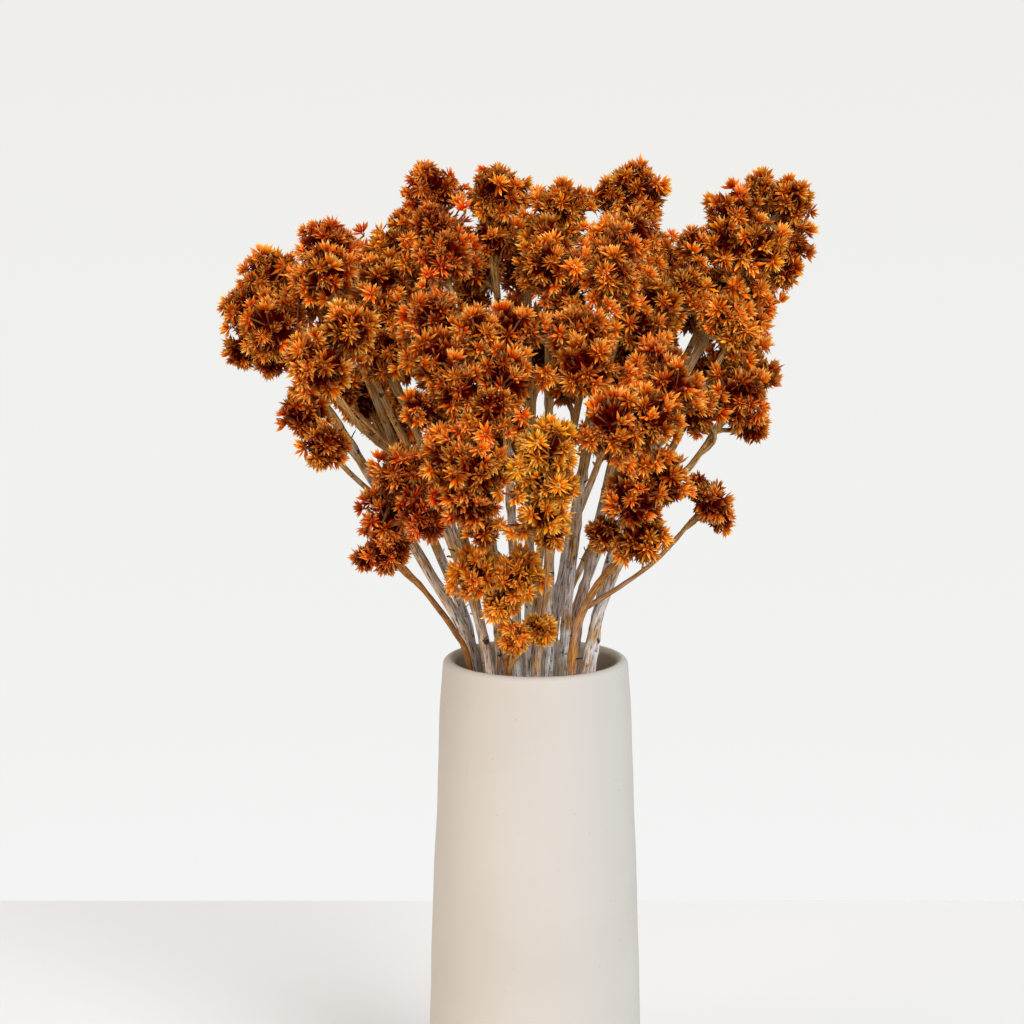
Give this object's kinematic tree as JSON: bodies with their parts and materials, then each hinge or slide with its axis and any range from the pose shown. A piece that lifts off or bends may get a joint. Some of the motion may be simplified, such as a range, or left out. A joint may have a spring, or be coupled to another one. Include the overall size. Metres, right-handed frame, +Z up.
{
  "type": "vase of dried andean aster",
  "caption": "Tall tapering ceramic vase holding a bunch of dried woody stems with dense clusters of small star-shaped flower heads.",
  "frame": {"origin": "centre of the vase's foot, on the surface that it stands on", "axes": "+Z up along the vase's axis, -Y towards the side of the bunch that the picture shows, +X to its right"},
  "size_m": [0.291, 0.2232, 0.5063],
  "materials": {
    "vase_clay": "matte",
    "bark": "matte",
    "dried_bracts": "matte"
  },
  "bodies": {
    "root": {"flowers_back_left": "dried_bracts", "flowers_back_left_low": "dried_bracts", "flowers_back_low": "dried_bracts", "flowers_back_low_left": "dried_bracts", "flowers_back_low_right": "dried_bracts", "flowers_back_mid": "dried_bracts", "flowers_back_mid_left": "dried_bracts", "flowers_back_mid_right": "dried_bracts", "flowers_back_right": "dried_bracts", "flowers_back_right_low": "dried_bracts", "flowers_back_top": "dried_bracts", "flowers_back_top_left": "dried_bracts", "flowers_back_top_right": "dried_bracts", "flowers_centre": "dried_bracts", "flowers_centre_right": "dried_bracts", "flowers_far_left": "dried_bracts", "flowers_front": "dried_bracts", "flowers_front_low": "dried_bracts", "flowers_front_right": "dried_bracts", "flowers_golden": "dried_bracts", "flowers_left": "dried_bracts", "flowers_left_front": "dried_bracts", "flowers_left_low": "dried_bracts", "flowers_low_left": "dried_bracts", "flowers_low_right": "dried_bracts", "flowers_right": "dried_bracts", "flowers_right_low": "dried_bracts", "flowers_right_mid": "dried_bracts", "flowers_right_top": "dried_bracts", "flowers_rim": "dried_bracts", "flowers_side_right": "dried_bracts", "flowers_top": "dried_bracts", "flowers_top_left": "dried_bracts", "flowers_top_mid": "dried_bracts", "flowers_top_right": "dried_bracts", "flowers_upper_left": "dried_bracts", "stem_back_left": "bark", "stem_back_low": "bark", "stem_back_right": "bark", "stem_back_top": "bark", "stem_back_top_left": "bark", "stem_back_top_right": "bark", "stem_centre": "bark", "stem_centre_right": "bark", "stem_far_left": "bark", "stem_front": "bark", "stem_front_low": "bark", "stem_left": "bark", "stem_low_left": "bark", "stem_low_right": "bark", "stem_right": "bark", "stem_right_mid": "bark", "stem_right_top": "bark", "stem_top": "bark", "stem_top_left": "bark", "stem_top_mid": "bark", "stem_top_right": "bark", "stem_upper_left": "bark", "vase": "vase_clay"}
  },
  "joints": []
}
